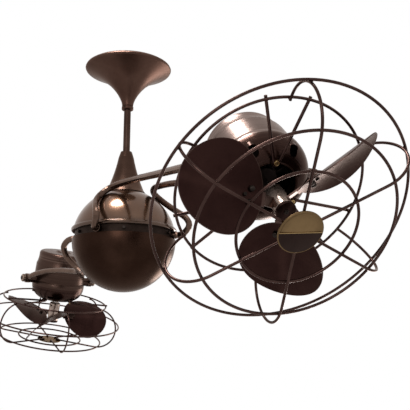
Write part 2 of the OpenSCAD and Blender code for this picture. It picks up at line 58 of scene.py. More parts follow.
# ---- Hanger --------------------------------------------------------------------------------
# The stamped bracket and cross pin are zinc-plated steel and the ball is moulded nylon. The
# bracket is screwed to the ceiling and the ball drops into its seat, hidden by the canopy.
GRAZE_TINT = (0.76, 0.68, 0.64, 1.0)    # keeps metal warm where it is seen edge-on
COAT_ROUGH = 0.10
SPECK_SCALE = 380.0
HAIR_WIDTH = 0.006
DRAWN_STRETCH = 0.03
RELIEF = 0.0001
SPANGLE_SCALE = 160.0
ZINC_DARK = (0.40, 0.40, 0.41)
ZINC_LIGHT = (0.62, 0.61, 0.58)
NYLON_DEEP = (0.012, 0.012, 0.012)
NYLON_WORN = (0.024, 0.023, 0.023)


class Flow:
    """One output of a shader node. Operators add Math nodes, and node() adds any other."""

    def __init__(self, tree, socket):
        self.tree = tree
        self.socket = socket

    @staticmethod
    def node(tree, kind, settings=None, out=0, **inputs):
        """A node with its settings and then its inputs, which are keywords with _ for a
        space, or i0, i1 and so on by number. A tuple of outputs gives a list."""
        made = tree.nodes.new(kind)
        for key, value in (settings or {}).items():
            setattr(made, key, value)
        for key, value in inputs.items():
            name = int(key[1:]) if key[0] == "i" and key[1:].isdigit() else key.replace("_", " ")
            if isinstance(value, Flow):
                tree.links.new(value.socket, made.inputs[name])
            else:
                made.inputs[name].default_value = value
        if isinstance(out, tuple):
            return [Flow(tree, made.outputs[n]) for n in out]
        return Flow(tree, made.outputs[out])

    def math(self, operation, *values):
        inputs = {f"i{n}": v for n, v in enumerate(values)}
        return Flow.node(self.tree, "ShaderNodeMath", {"operation": operation}, **inputs)

    def __add__(self, other):
        return self.math("ADD", self, other)

    __radd__ = __add__

    def __mul__(self, other):
        return self.math("MULTIPLY", self, other)

    __rmul__ = __mul__

    def __sub__(self, other):
        return self.math("SUBTRACT", self, other)

    def __rsub__(self, other):
        return self.math("SUBTRACT", other, self)

    def __pow__(self, other):
        return self.math("POWER", self, other)

    def __rpow__(self, other):
        return self.math("POWER", other, self)

    def __abs__(self):
        return self.math("ABSOLUTE", self)

    def clamp(self):
        return self.math("MINIMUM", self.math("MAXIMUM", self, 0.0), 1.0)

    def step(self, low, high):
        """A smooth rise from 0 at low to 1 at high, or a fall where low is the greater."""
        return Flow.node(self.tree, "ShaderNodeMapRange", {"interpolation_type": "SMOOTHSTEP"},
                         Value=self, From_Min=low, From_Max=high)

    def mix(self, first, second):
        """first where this value is 0, second where it is 1."""
        if not isinstance(first, Flow):
            first = (*first, 1.0)
        return Flow.node(self.tree, "ShaderNodeMix", {"data_type": "RGBA"}, out=2,
                         i0=self, i6=first, i7=(*second, 1.0))


class Finish:
    """A surface being mixed, on coordinates of the whole fan or of a piece's own seat. It has
    clouds, specks and hairline scratches, gives tool lines, and takes its colour, roughness
    and relief last."""

    def __init__(self, name, metal, coat=0.0, level=0.5, seat=None, cloud=9.0):
        self.look = bpy.data.materials.new(name)
        self.look.use_nodes = True
        self.tree = self.look.node_tree
        self.shader = self.tree.nodes["Principled BSDF"]
        for socket, value in (("Metallic", metal), ("Coat Weight", coat),
                              ("Coat Roughness", COAT_ROUGH), ("Specular IOR Level", level),
                              ("Specular Tint", GRAZE_TINT)):
            self.shader.inputs[socket].default_value = value
        self.place = Flow.node(self.tree, "ShaderNodeTexCoord", out=3)
        if seat is not None:
            self.place = Flow.node(self.tree, "ShaderNodeMapping", {"vector_type": "TEXTURE"},
                                   Vector=self.place, Location=seat.to_translation(),
                                   Rotation=seat.to_euler())
        self.x, self.y, self.z = Flow.node(self.tree, "ShaderNodeSeparateXYZ", out=(0, 1, 2),
                                           Vector=self.place)
        self.r = (self.x * self.x + self.y * self.y) ** 0.5
        self.clouds = self.noise(cloud, detail=5.0, rough=0.6)
        self.specks = self.noise(SPECK_SCALE, detail=2.0, rough=0.5)
        weave = self.noise(cloud * 2.6, detail=1.0, rough=0.3)
        self.hairs = (1.0 - abs(weave - 0.5).step(0.0, HAIR_WIDTH)) * self.clouds.step(0.5, 0.7)

    def noise(self, scale, detail, rough, at=None):
        return Flow.node(self.tree, "ShaderNodeTexNoise", Vector=at or self.place, Scale=scale,
                         Detail=detail, Roughness=rough)

    def lines(self, gap, along="turned"):
        """Fine tool lines: turned ones run round the axis, drawn ones run along X."""
        if along == "turned":
            at = Flow.node(self.tree, "ShaderNodeCombineXYZ", X=self.r, Y=self.z)
        else:
            at = Flow.node(self.tree, "ShaderNodeCombineXYZ", X=self.x * DRAWN_STRETCH,
                           Y=self.y, Z=self.z)
        return self.noise(1.0 / gap, detail=3.0, rough=0.7, at=at)

    def close(self, colour, rough, relief):
        bump = Flow.node(self.tree, "ShaderNodeBump", Height=relief, Strength=1.0,
                         Distance=RELIEF)
        for name, value in (("Base Color", colour), ("Roughness", rough), ("Normal", bump)):
            self.tree.links.new(value.socket, self.shader.inputs[name])
        return self.look


def dress(look, *names):
    for name in names:
        piece = nodes[name]
        piece.data.materials.clear()
        piece.data.materials.append(look)


plating = Finish("zinc plate", metal=1.0, cloud=40.0)
spangle = Flow.node(plating.tree, "ShaderNodeTexVoronoi", Vector=plating.place,
                    Scale=SPANGLE_SCALE)
zinc = plating.close(
    colour=(spangle * 0.8 + plating.clouds * 0.4).clamp().mix(ZINC_DARK, ZINC_LIGHT),
    rough=spangle * 0.2 + 0.26, relief=plating.specks * 0.4)
moulding = Finish("black nylon", metal=0.0, level=0.4, cloud=30.0)
nylon = moulding.close(colour=moulding.clouds.mix(NYLON_DEEP, NYLON_WORN),
                       rough=moulding.specks * 0.15 + 0.45, relief=moulding.specks * 0.8)
dress(zinc, "hanger_bracket", "hanger_pin")
dress(nylon, "hanger_ball")

# ---- Canopy, collar and rod ----------------------------------------------------------------
# The canopy is spun from sheet steel and the rod is steel tube, all in an oil-rubbed bronze
# lacquer. A turned collar with a small grub screw holds the canopy up against the ceiling.
CANOPY_R = 0.101
# The flare's outside, from its throat out to the rolled rim and in again to the ceiling.
FLARE = [(0.0130, -0.1020), (0.0131, -0.0985), (0.0146, -0.0910), (0.0182, -0.0825),
         (0.0240, -0.0715), (0.0325, -0.0595), (0.0440, -0.0465), (0.0575, -0.0350),
         (0.0720, -0.0255), (0.0860, -0.0180), (0.0960, -0.0136), (0.0998, -0.0117),
         (CANOPY_R, -0.0094), (0.0998, -0.0068), (0.0950, -0.0036), (0.0880, -0.0005)]
WALL = 0.0012
RUBBED_RIM = 0.004
COLLAR_Z = -0.1065
COLLAR_R = 0.0136
COLLAR_GRUB_AT = -52
SPIN_GAP = 0.0012
CREASE = 38
FACING_UP = 0.99
HEAD_SUNK = 0.0004
SLOT_LAND = 0.1
SLOT_DEPTH = 0.7


def lacquer(name, deep, warm, rub, metal, rough, coat=0.0, level=0.2, seat=None, line=0.12,
            cloud=9.0, rub_or_shade_mask=None):
    """Oil-rubbed bronze: deep over warm in soft clouds, and faint spinning lines. A second
    colour shows in hairline scratches, and in a place of its own that the last argument gives:
    rubbed wear on the canopy rim and the knob ends, painted shade on the ball's bead, and a
    lightening towards the trumpet's foot."""
    paint = Finish(name, metal, coat, level, seat, cloud)
    rings = paint.lines(SPIN_GAP)
    tone = (paint.clouds.step(0.34, 0.68) * 0.7 + rings * 0.2 + paint.specks * 0.15).clamp()
    rubbed_or_shaded = paint.hairs * 0.35
    if rub_or_shade_mask is not None:
        rubbed_or_shaded = (rubbed_or_shaded + rub_or_shade_mask(paint) * (0.35 + paint.clouds * 0.5)).clamp()
    colour = rubbed_or_shaded.mix(tone.mix(deep, warm), rub)
    gloss = paint.clouds * 0.14 + rings * 0.06 + paint.specks * 0.05 + (rough - 0.12)
    return paint.close(colour, gloss, relief=paint.specks * 0.12 + rings * line)


def hollow(curve, wall):
    """A sheet's outline from (radius, height) points: the curve outside, and back inside."""
    outside = [Vector((r, 0, h)) for r, h in curve]
    inside = []
    for n, point in enumerate(outside):
        run = outside[min(n + 1, len(outside) - 1)] - outside[max(n - 1, 0)]
        inside.append(point + Vector((-abs(run.z), 0, run.x)).normalized() * wall)
    inside[0].z = outside[0].z
    inside[-1].z = outside[-1].z
    return [(p.x, p.z) for p in outside + inside[::-1]]


def turn(profile, steps=28, closed=False):
    """A mesh spun round Z from (radius, height) points. It starts and ends on the axis, or
    closed joins its ends for a ring."""
    bm = bmesh.new()
    points = [bm.verts.new((r, 0.0, h)) for r, h in profile]
    for first, second in zip(points, points[1:] + points[:1] * closed):
        bm.edges.new((first, second))
    bmesh.ops.spin(bm, geom=bm.verts[:] + bm.edges[:], cent=(0, 0, 0), axis=(0, 0, 1),
                   dvec=(0, 0, 0), angle=math.tau, steps=steps, use_merge=True)
    bmesh.ops.remove_doubles(bm, verts=bm.verts[:], dist=1e-7)
    bmesh.ops.recalc_face_normals(bm, faces=bm.faces[:])
    return bm


def screw_head(radius, height, slot):
    """A turned screw head with a rounded edge and a coin slot, which is twice slot wide. Its
    foot is sunk a little into what it holds."""
    bm = turn([(0, -HEAD_SUNK), (radius, -HEAD_SUNK), (radius, height * 0.5),
               (radius * 0.93, height * 0.85), (radius * 0.76, height), (0, height)])
    crown = [f for f in bm.faces if f.normal.z > FACING_UP]
    face = bmesh.ops.dissolve_faces(bm, faces=crown)["region"][0]
    bmesh.ops.inset_region(bm, faces=[face], thickness=radius * SLOT_LAND)
    for side in (slot, -slot):
        face = min((f for f in bm.faces if f.normal.z > FACING_UP),
                   key=lambda f: f.calc_center_median().length_squared)
        bmesh.ops.bisect_plane(bm, geom=[face, *face.edges, *face.verts],
                               plane_co=(side, 0, 0), plane_no=(1, 0, 0))
    face = min((f for f in bm.faces if f.normal.z > FACING_UP),
               key=lambda f: f.calc_center_median().to_2d().length)
    sunk = bmesh.ops.extrude_face_region(bm, geom=[face])["geom"]
    bmesh.ops.translate(bm, verts=[v for v in sunk if isinstance(v, bmesh.types.BMVert)],
                        vec=(0, 0, -height * SLOT_DEPTH))
    bmesh.ops.delete(bm, geom=[face], context="FACES_ONLY")
    return bm


def place_at(seats, stock, name, look, body):
    """Copies of a stock mesh at each seat, joined into one named piece that rides on a body."""
    pattern = bpy.data.meshes.new("stock")
    stock.to_mesh(pattern)
    stock.free()
    bm = bmesh.new()
    for seat in seats:
        start = len(bm.verts)
        bm.from_mesh(pattern)
        bm.verts.ensure_lookup_table()
        bmesh.ops.transform(bm, matrix=seat, verts=bm.verts[start:])
    bpy.data.meshes.remove(pattern)
    bmesh.ops.recalc_face_normals(bm, faces=bm.faces[:])
    mesh = bpy.data.meshes.new(name)
    bm.to_mesh(mesh)
    bm.free()
    mesh.shade_smooth()
    mesh.set_sharp_from_angle(angle=math.radians(CREASE))
    mesh.materials.append(look)
    made = bpy.data.objects.new(name, mesh)
    bpy.context.scene.collection.objects.link(made)
    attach(made, body)
    return made


def shift(x=0.0, y=0.0, z=0.0):
    return Matrix.Translation((x, y, z))


def spin_by(degrees, axis="Z"):
    return Matrix.Rotation(math.radians(degrees), 4, axis)


cover = lacquer("cover bronze", deep=(0.048, 0.0225, 0.0160), warm=(0.092, 0.050, 0.037),
                rub=(0.17, 0.105, 0.080), metal=0.92, rough=0.35,
                rub_or_shade_mask=lambda p: p.r.step(CANOPY_R - RUBBED_RIM, CANOPY_R) * 0.4)
rod_paint = lacquer("rod bronze", deep=(0.034, 0.0185, 0.0140), warm=(0.066, 0.039, 0.030),
                    rub=(0.17, 0.110, 0.080), metal=0.94, rough=0.28)
black_oxide = lacquer("black oxide steel", deep=(0.014, 0.010, 0.009),
                      warm=(0.034, 0.026, 0.022), rub=(0.16, 0.13, 0.11), metal=0.85,
                      rough=0.34, level=0.3, cloud=60.0)
flare = place_at([Matrix()], turn(hollow(FLARE, WALL), steps=128, closed=True),
                 "canopy_flare", cover, "ceiling")
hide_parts("canopy")
dress(cover, "canopy_collar")
dress(rod_paint, "downrod")
place_at([spin_by(COLLAR_GRUB_AT) @ shift(COLLAR_R, 0, COLLAR_Z) @ spin_by(90, "Y")],
         screw_head(radius=0.0019, height=0.0004, slot=0.0003), "collar_grub_screw",
         black_oxide, "ceiling")

# ---- Trumpet and coupling ------------------------------------------------------------------
# A second spun cover flares from the rod down on to the ball. It hides the turned coupling in
# which the rod ends.
BALL_Z = -0.422
# The trumpet turns lighter towards its foot, between these two heights.
LIGHTENING_TOP = 0.150                         # above the ball's middle
LIGHTENING_FOOT = 0.107
trumpet = lacquer("trumpet bronze", deep=(0.036, 0.0190, 0.0135), warm=(0.078, 0.044, 0.032),
                  rub=(0.19, 0.115, 0.082), metal=0.94, rough=0.28,
                  rub_or_shade_mask=lambda p: (p.z - BALL_Z).step(LIGHTENING_TOP, LIGHTENING_FOOT) * 0.5)
dress(trumpet, "lower_trumpet")
dress(zinc, "rod_coupling")

# ---- Ball ----------------------------------------------------------------------------------
# Two spun shells clip round a cast carrier that turns on ball bearings: a dome with a rolled
# bead over a bowl of the same bronze, which is painted darker as shade. Painted shade also
# darkens the bead and just above it. Six screws hold them in the open seam between the two.
SEAM_Z = BALL_Z + 0.009
SEAM_SCREWS = 6
SEAM_SCREW_R = 0.1142
SEAM_SCREW_AT = -22
BEAD_SHADE_TOP = 0.038                       # above the ball's middle
BEAD_SHADE_FULL = 0.022
STEEL_DARK = (0.42, 0.41, 0.40)
STEEL_LIGHT = (0.68, 0.67, 0.65)


def bead_painted_shade(paint):
    """Painted shade, dark on the rolled bead and just above it."""
    return (paint.z - BALL_Z).step(BEAD_SHADE_TOP, BEAD_SHADE_FULL)


def all_round(count, start=0):
    """Turns about Z that share a full circle evenly, from a start angle."""
    return [spin_by(start + 360 / count * n) for n in range(count)]


# The dome's dark second colour marks its hairline scratches and is painted shade on the bead.
ball_dome = lacquer("ball dome bronze", deep=(0.088, 0.044, 0.0255), warm=(0.138, 0.076, 0.047),
                    rub=(0.050, 0.030, 0.021), metal=0.95, rough=0.24, coat=0.5, level=0.1,
                    cloud=7.0, rub_or_shade_mask=bead_painted_shade)
# The bowl is painted darker than the dome as shade.
shaded_ball_bowl = lacquer("ball bowl bronze", deep=(0.0150, 0.0066, 0.0040),
                    warm=(0.041, 0.0205, 0.0140), rub=(0.12, 0.08, 0.06), metal=0.94,
                    rough=0.27, level=0.1, cloud=7.0)
casting = lacquer("seam casting", deep=(0.014, 0.009, 0.0070), warm=(0.030, 0.019, 0.015),
                  rub=(0.07, 0.05, 0.04), metal=0.8, rough=0.5, cloud=40.0)
ground = Finish("ground steel", metal=1.0, cloud=50.0)
ground_rings = ground.lines(gap=0.0006)
steel = ground.close(colour=ground_rings.mix(STEEL_DARK, STEEL_LIGHT),
                     rough=ground.clouds * 0.1 + 0.18, relief=ground_rings * 0.3)
dress(ball_dome, "upper_shell")
dress(shaded_ball_bowl, "lower_shell")
dress(casting, "carrier")
dress(steel, "spindle", "spindle_bearings")
dress(zinc, "spindle_nut")
dress(black_oxide, "seam_screws")
place_at([shift(z=SEAM_Z) @ turning @ shift(SEAM_SCREW_R) @ spin_by(90, "Y")
          for turning in all_round(SEAM_SCREWS, SEAM_SCREW_AT)],
         screw_head(radius=0.0033, height=0.0011, slot=0.00045), "seam_screw_heads",
         black_oxide, "carousel")

# ---- Forks ---------------------------------------------------------------------------------
# Each prong is one bent steel tube, brazed into a socket on the ball and flattened to an eye
# at the head. All of it is lacquered a lighter bronze, and each socket has a rolled lip.
REAR_TURN = 178
SOCKET_Z = BALL_Z + 0.0085
SOCKET_AT = 51
SOCKET_END = 0.1197
LIP_R = 0.0079
LIP_ROUND = 0.0011
tube = lacquer("tube bronze", deep=(0.062, 0.036, 0.026), warm=(0.122, 0.077, 0.058),
               rub=(0.34, 0.25, 0.20), metal=0.95, rough=0.24, line=0.05, cloud=16.0)


def hoop(radius, wire, sides):
    """The closed outline, for turn(), of a ring bent from round wire."""
    return [(radius + wire * math.cos(n * math.tau / sides),
             wire * math.sin(n * math.tau / sides)) for n in range(sides)]


dress(tube, "front_left_prong", "front_right_prong", "rear_left_prong", "rear_right_prong",
      "arm_sockets")
place_at([shift(z=SOCKET_Z) @ spin_by(a) @ spin_by(90, "Y") @ shift(z=SOCKET_END)
          for a in (SOCKET_AT, -SOCKET_AT, REAR_TURN + SOCKET_AT, REAR_TURN - SOCKET_AT)],
         turn(hoop(LIP_R, LIP_ROUND, sides=10), steps=36, closed=True), "socket_lips", tube,
         "carousel")

# ---- Pivot screws --------------------------------------------------------------------------
# Two fluted thumb screws go through the eyes into the head and hold it at the angle it is
# set to. Each is turned steel with a slotted plug pressed into its end.
REACH = 0.563
TOE = 7.25
FRONT_Z = BALL_Z + 0.0226
FRONT_TILT = 43
REAR_Z = BALL_Z - 0.028
REAR_TILT = 72
KNOB_END = 0.1126
RUBBED_END = 0.003
heads = {
    "front": shift(REACH, 0, FRONT_Z) @ spin_by(-TOE) @ spin_by(FRONT_TILT, "Y"),
    "rear": spin_by(REAR_TURN) @ shift(REACH, 0, REAR_Z) @ spin_by(TOE)
            @ spin_by(REAR_TILT, "Y"),
}
# In a head's own frame X runs along its pivots, Y up and Z out along the rotor's axis.
for side in heads:
    heads[side] = heads[side] @ spin_by(90) @ spin_by(90, "X")

for side, seat in heads.items():
    knob = lacquer(side + " knob bronze", deep=(0.11, 0.075, 0.058), warm=(0.19, 0.135, 0.105),
                   rub=(0.50, 0.38, 0.30), metal=0.85, rough=0.27, level=0.45, seat=seat,
                   cloud=30.0, rub_or_shade_mask=lambda p: abs(p.x).step(KNOB_END - RUBBED_END, KNOB_END))
    dress(knob, side + "_pivot_screws")
    place_at([seat @ spin_by(90 * way, "Y") @ shift(z=KNOB_END) for way in (1, -1)],
             screw_head(radius=0.0056, height=0.0013, slot=0.0007), side + "_knob_plugs",
             black_oxide, side + "_head")

# ---- Motor housings ------------------------------------------------------------------------
# A back cap, a drum and a domed front with six scoops, spun from steel and brushed on the
# lathe. The domes are painted dark as shade, and the caps and drums pinkish, painted lighter
# on the front head as light from above and darker on the rear head as shade. Painted shade
# also darkens each housing towards its front.
# Between these heights painted shade darkens the domes, and the caps and drums, towards the
# front.
SHOULDER_Z = 0.015
DOME_SHADED_Z = 0.05
CAP_LIT_Z = -0.06
DRUM_SHADED_Z = 0.03
FINE_GAP = 0.0009
BROAD_GAP = 0.009
MARK_GAP = 0.004
# The front head's caps and drums are painted lighter as light from above, and the rear head's
# darker as shade.
DRUM_LIT_AND_SHADED_TONES = {
    "front": ((0.095, 0.068, 0.059), (0.182, 0.134, 0.119), (0.27, 0.208, 0.188)),
    "rear": ((0.028, 0.0140, 0.0098), (0.076, 0.044, 0.034), (0.150, 0.098, 0.078)),
}
# The domes are painted dark as shade.
DOME_SHADE_TONES = ((0.0200, 0.0088, 0.0066), (0.044, 0.0215, 0.0165), (0.075, 0.042, 0.032))


def brushed(name, seat, tones, rough, low, high):
    """Brushed bronze in deep, warm and bright tones: lathe lines of uneven width, a few deeper
    marks, and painted shade that darkens it along the axis towards the deep tone, from low to
    high."""
    deep, warm, bright = tones
    spun = Finish(name, metal=0.95, coat=0.05, seat=seat, cloud=11.0)
    fine = spun.lines(FINE_GAP)
    broad = spun.lines(BROAD_GAP)
    deep_marks = (1.0 - abs(spun.lines(MARK_GAP) - 0.5).step(0.0, 0.01)) * 0.5
    # Painted shade darkens the metal along the axis.
    axis_shade = (spun.z + spun.clouds * 0.02).step(low, high)
    colour = (fine * 0.65 + broad * 0.35).clamp().mix(deep, warm)
    colour = (broad.step(0.52, 0.7) * 0.5 + spun.hairs * 0.4).clamp().mix(colour, bright)
    colour = (axis_shade * 0.45).mix(colour, deep)
    gloss = fine * 0.16 + spun.clouds * 0.12 + (rough - 0.14)
    return spun.close(colour, gloss, relief=fine * 0.4 + broad * 0.4 - deep_marks * 0.4)


for side, seat in heads.items():
    shell = brushed(side + " drum bronze", seat, DRUM_LIT_AND_SHADED_TONES[side], rough=0.30,
                    low=CAP_LIT_Z, high=DRUM_SHADED_Z)
    dome = brushed(side + " dome bronze", seat, DOME_SHADE_TONES, rough=0.26, low=SHOULDER_Z,
                   high=DOME_SHADED_Z)
    dress(shell, side + "_back_cap", side + "_drum")
    dress(dome, side + "_dome")

# ---- Motors --------------------------------------------------------------------------------
# A black induction motor sits in the housing. Its cast end bell has twelve cooling fins round
# the bearing boss and four slotted screws between them.
BELL_Z = 0.020
BELL_R = 0.030
BELL_SCREWS = 4
FINS = 12
FIN_AT = 15
FIN_RISE = 0.0046
FIN_SIZE = (0.015, 0.0018, 0.010)
FIN_EDGE = 0.0005
motor_black = lacquer("motor black", deep=(0.0060, 0.0040, 0.0036),
                      warm=(0.016, 0.0110, 0.0100), rub=(0.08, 0.065, 0.055), metal=0.9,
                      rough=0.34, level=0.1, line=0.1, cloud=45.0)


def soft_block(size, edge):
    """A block with rounded edges."""
    bm = bmesh.new()
    bmesh.ops.create_cube(bm, size=1.0, matrix=Matrix.Diagonal((*size, 1.0)))
    bmesh.ops.bevel(bm, geom=bm.edges[:], offset=edge, segments=2, profile=0.5,
                    affect="EDGES", material=-1)
    return bm


for side, seat in heads.items():
    dress(motor_black, side + "_motor")
    place_at([seat @ turning @ shift(BELL_R, 0, BELL_Z + FIN_RISE)
              for turning in all_round(FINS, FIN_AT)], soft_block(FIN_SIZE, FIN_EDGE),
             side + "_motor_fins", motor_black, side + "_head")
    place_at([seat @ turning @ shift(BELL_R, 0, BELL_Z) for turning in all_round(BELL_SCREWS)],
             screw_head(radius=0.0030, height=0.0018, slot=0.0004), side + "_motor_screws",
             zinc, side + "_head")

# ---- Cages ---------------------------------------------------------------------------------
# Four wire rings and six curled ribs, spot-welded where they cross and lacquered dark. Each
# weld leaves a small long bead between the two wires.
RIBS = 6
RIB_AT = 37
WIRE_R = 0.0022
RIB_Z = 0.1747
RIB_START = 0.020
CURL_START = 0.1349
CURL_R = 0.0558
CURL_TURN = 170
BIG_WELD = (0.1928, 0.1150)             # a weld's distance from the axis, and its height
REAR_WELD = (0.1466, 0.0622)
FRONT_WELD = (0.1486, 0.17184)
SMALL_WELD = (0.0895, 0.17255)
wire = lacquer("wire bronze", deep=(0.030, 0.0150, 0.0125), warm=(0.066, 0.036, 0.030),
               rub=(0.26, 0.17, 0.14), metal=0.95, rough=0.20, coat=0.05, level=0.1,
               line=0.03, cloud=22.0)


def bead(radius, stretch):
    """A weld's bead, drawn out by stretch along its second axis."""
    bm = bmesh.new()
    bmesh.ops.create_icosphere(bm, subdivisions=2, radius=radius,
                               matrix=Matrix.Diagonal((1.0, stretch, 1.0, 1.0)))
    return bm


def rib():
    """A rib's wire: straight out over the cage's front, then curled back inside the big ring."""
    bm = bmesh.new()
    bmesh.ops.create_circle(bm, cap_ends=True, segments=14, radius=WIRE_R,
                            matrix=shift(RIB_START, 0, RIB_Z) @ spin_by(90, "Y"))
    front = [g for g in bmesh.ops.extrude_face_region(bm, geom=bm.faces[:])["geom"]
             if isinstance(g, bmesh.types.BMFace)]
    bmesh.ops.translate(bm, verts=front[0].verts[:], vec=(CURL_START - RIB_START, 0, 0))
    bmesh.ops.spin(bm, geom=front, cent=(CURL_START, 0, RIB_Z - CURL_R), axis=(0, 1, 0),
                   dvec=(0, 0, 0), angle=math.radians(CURL_TURN), steps=40)
    bmesh.ops.delete(bm, geom=front, context="FACES_ONLY")
    return bm


for side, seat in heads.items():
    dress(wire, *(side + ring for ring in ("_big_ring", "_rear_ring", "_front_ring",
                                           "_small_ring")))
    ribs = place_at([seat @ turning for turning in all_round(RIBS, RIB_AT)], rib(),
                    side + "_rib_wires", wire, side + "_head")
    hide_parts(side + "_ribs")
    place_at([seat @ turning @ shift(r, 0, z) for turning in all_round(RIBS, RIB_AT)
              for r, z in (BIG_WELD, REAR_WELD, FRONT_WELD, SMALL_WELD)],
             bead(radius=0.0019, stretch=1.6), side + "_cage_welds", wire,
             side + "_head")

# ---- Struts --------------------------------------------------------------------------------
# Three pairs of straight rods carry the cage. Each pair is welded to a pierced foot, which a
# slotted brass screw holds to the mouth of the dome, and to the rear ring at its far end.
STRUT_PAIRS = 3
STRUT_AT = RIB_AT + 360 / RIBS
FOOT_R = 0.04486
SCREW_Z = 0.0614
TIP_R = 0.1475
TIP_Z = 0.0581
SPLIT = 13
BRASS_DULL = (0.24, 0.155, 0.065)
BRASS_BRIGHT = (0.44, 0.31, 0.150)
cut_brass = Finish("screw brass", metal=1.0, cloud=60.0)
brass_lines = cut_brass.lines(gap=0.0005, along="drawn")
brass = cut_brass.close(colour=cut_brass.clouds.mix(BRASS_DULL, BRASS_BRIGHT),
                        rough=cut_brass.clouds * 0.2 + 0.16, relief=brass_lines * 0.3)
for side, seat in heads.items():
    dress(wire, side + "_struts")
    dress(brass, side + "_strut_screws")
    place_at([seat @ turning @ shift(FOOT_R, 0, SCREW_Z)
              for turning in all_round(STRUT_PAIRS, STRUT_AT)],
             screw_head(radius=0.0042, height=0.0013, slot=0.0005),
             side + "_strut_screw_heads", brass, side + "_head")
    place_at([seat @ turning @ spin_by(aside) @ shift(TIP_R, 0, TIP_Z)
              for turning in all_round(STRUT_PAIRS, STRUT_AT) for aside in (SPLIT, -SPLIT)],
             bead(radius=0.0023, stretch=1.4), side + "_strut_welds", wire,
             side + "_head")

# ---- Badges --------------------------------------------------------------------------------
# A struck brass disc is riveted over the ribs in the middle of the cage. Its upper half is
# bare brushed brass and its lower half dark enamel, with a raised bar between and a border.
BADGE_Z = 0.1768
BADGE_TURN = 6
FACE_UP = 0.0030
BORDER_UP = 0.0023
BORDER_R = 0.0331
BORDER_ROUND = 0.0004
BAR_SIZE = (0.0645, 0.0012, 0.0012)
BAR_EDGE = 0.0003
ENAMEL_R = 0.0324
ENAMEL_TOP = -0.0004
ENAMEL_THICK = 0.0009
ENAMEL_EDGE = 0.0002
DISC_BARE = (0.215, 0.138, 0.066)
DISC_TARNISHED = (0.120, 0.075, 0.036)
DISC_SCRATCHED = (0.36, 0.27, 0.15)
ENAMEL_DEEP = (0.0130, 0.0062, 0.0048)
ENAMEL_WARM = (0.034, 0.0185, 0.0145)


def half_disc():
    """The enamel: a thin plate below the bar, with its edge rounded."""
    bm = bmesh.new()
    bmesh.ops.create_circle(bm, cap_ends=True, segments=72, radius=ENAMEL_R)
    bmesh.ops.bisect_plane(bm, geom=bm.verts[:] + bm.edges[:] + bm.faces[:],
                           plane_co=(0, ENAMEL_TOP, 0), plane_no=(0, 1, 0), clear_outer=True)
    bmesh.ops.solidify(bm, geom=bm.faces[:], thickness=ENAMEL_THICK)
    rim = [e for e in bm.edges if e.calc_face_angle(0.0) > 1.0]
    bmesh.ops.bevel(bm, geom=rim, offset=ENAMEL_EDGE, segments=2, profile=0.5,
                    affect="EDGES", material=-1)
    return bm


for side, seat in heads.items():
    flat = seat @ spin_by(BADGE_TURN) @ shift(z=BADGE_Z)
    struck = Finish(side + " badge brass", metal=1.0, seat=flat, cloud=70.0)
    grain = struck.lines(gap=0.0004, along="drawn")
    tarnish = (struck.clouds * 0.7 + struck.r.step(0.016, 0.034) * 0.5).clamp()
    disc = struck.close(
        colour=(struck.hairs * 0.4).mix(tarnish.mix(DISC_BARE, DISC_TARNISHED), DISC_SCRATCHED),
        rough=grain * 0.2 + 0.26, relief=grain * 0.5)
    glaze = Finish(side + " badge enamel", metal=0.92, coat=0.1, level=0.1, seat=flat,
                   cloud=60.0)
    enamel = glaze.close(
        colour=(glaze.clouds * 0.7 + glaze.hairs * 0.3).clamp().mix(ENAMEL_DEEP, ENAMEL_WARM),
        rough=glaze.clouds * 0.12 + 0.26, relief=glaze.specks * 0.4)
    dress(disc, side + "_badge")
    place_at([flat @ shift(z=FACE_UP)], half_disc(), side + "_badge_enamel", enamel,
             side + "_head")
    place_at([flat @ shift(z=FACE_UP)], soft_block(BAR_SIZE, BAR_EDGE), side + "_badge_bar",
             brass, side + "_head")
    place_at([flat @ shift(z=BORDER_UP)],
             turn(hoop(BORDER_R, BORDER_ROUND, sides=8), steps=72, closed=True),
             side + "_badge_border", brass, side + "_head")

# ---- Shafts, hubs and noses ----------------------------------------------------------------
# The ground motor shaft carries a turned hub with a satin bright face, locked by three grub
# screws. A dark turned nose, a little wider than the hub, is screwed over its end.
HUB_R = 0.0146
HUB_DULL = (0.17, 0.125, 0.105)
HUB_BRIGHT = (0.50, 0.39, 0.33)
HUB_GRUBS = 3
HUB_GRUB_AT = 90
HUB_GRUB_Z = 0.075
HUB_GRUB_SUNK = 0.0015
NOSE_Z = 0.1249
NOSE_PROFILE = [(0, 0.1196), (0.0149, 0.1196), (0.0157, 0.1203), (0.0158, 0.1212),
                (0.0154, 0.1214), (0.0154, 0.1220), (0.0158, 0.1222), (0.0156, 0.1236),
                (0.0149, 0.1244), (0.0120, NOSE_Z), (0, NOSE_Z)]
nose_paint = lacquer("nose bronze", deep=(0.0110, 0.0052, 0.0045), warm=(0.030, 0.0155, 0.0130),
                     rub=(0.13, 0.085, 0.070), metal=0.95, rough=0.30, level=0.1, cloud=60.0)
for side, seat in heads.items():
    turned = Finish(side + " hub metal", metal=1.0, seat=seat, cloud=30.0)
    cut = turned.lines(gap=0.0008)
    wide = turned.lines(gap=0.006)
    hub = turned.close(colour=(cut * 0.5 + wide * 0.5).clamp().mix(HUB_DULL, HUB_BRIGHT),
                       rough=cut * 0.15 + 0.2, relief=cut * 0.35 + wide * 0.3)
    dress(steel, side + "_shaft")
    dress(hub, side + "_hub")
    cap = place_at([seat], turn(NOSE_PROFILE, steps=64), side + "_nose_cap", nose_paint,
                   side + "_rotor")
    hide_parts(side + "_nose")
    place_at([seat @ turning @ shift(HUB_R - HUB_GRUB_SUNK, 0, HUB_GRUB_Z) @ spin_by(90, "Y")
              for turning in all_round(HUB_GRUBS, HUB_GRUB_AT)],
             screw_head(radius=0.0023, height=0.0006, slot=0.0003), side + "_hub_grub_screws",
             black_oxide, side + "_rotor")
    place_at([seat @ shift(z=NOSE_Z)], screw_head(radius=0.0040, height=0.0014, slot=0.0005),
             side + "_nose_screw", black_oxide, side + "_rotor")

